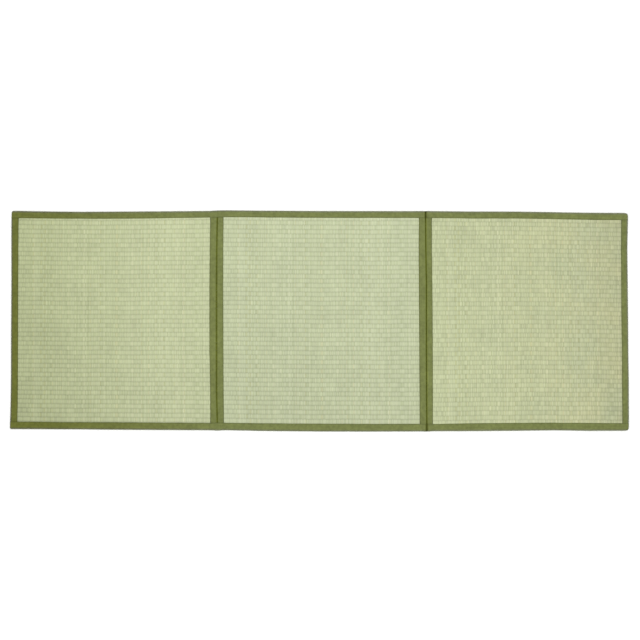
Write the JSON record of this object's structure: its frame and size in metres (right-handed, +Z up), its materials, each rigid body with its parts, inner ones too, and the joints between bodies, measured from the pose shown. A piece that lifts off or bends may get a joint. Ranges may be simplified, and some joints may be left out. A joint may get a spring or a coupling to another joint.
{
  "type": "tatami mat",
  "caption": "Flat folding tatami mat of ribbed woven rush panels, bound and hinged with cloth tape.",
  "frame": {"origin": "centre of the mat's box, on the floor", "axes": "+X along the mat's length, +Y across it towards the back long side, +Z up out of the rush face"},
  "size_m": [2.0048, 0.717, 0.0143],
  "materials": {
    "woven_rush": "pale green woven rush, ribbed, with a slight sheen",
    "edge_tape": "matt olive green cotton tape"
  },
  "bodies": {
    "root": {"rush_panel_left": "woven_rush", "rush_panel_middle": "woven_rush", "rush_panel_right": "woven_rush", "end_tape_left": "edge_tape", "hinge_tape_left": "edge_tape", "hinge_tape_right": "edge_tape", "end_tape_right": "edge_tape", "side_tape_back": "edge_tape", "side_tape_front": "edge_tape"}
  },
  "joints": []
}
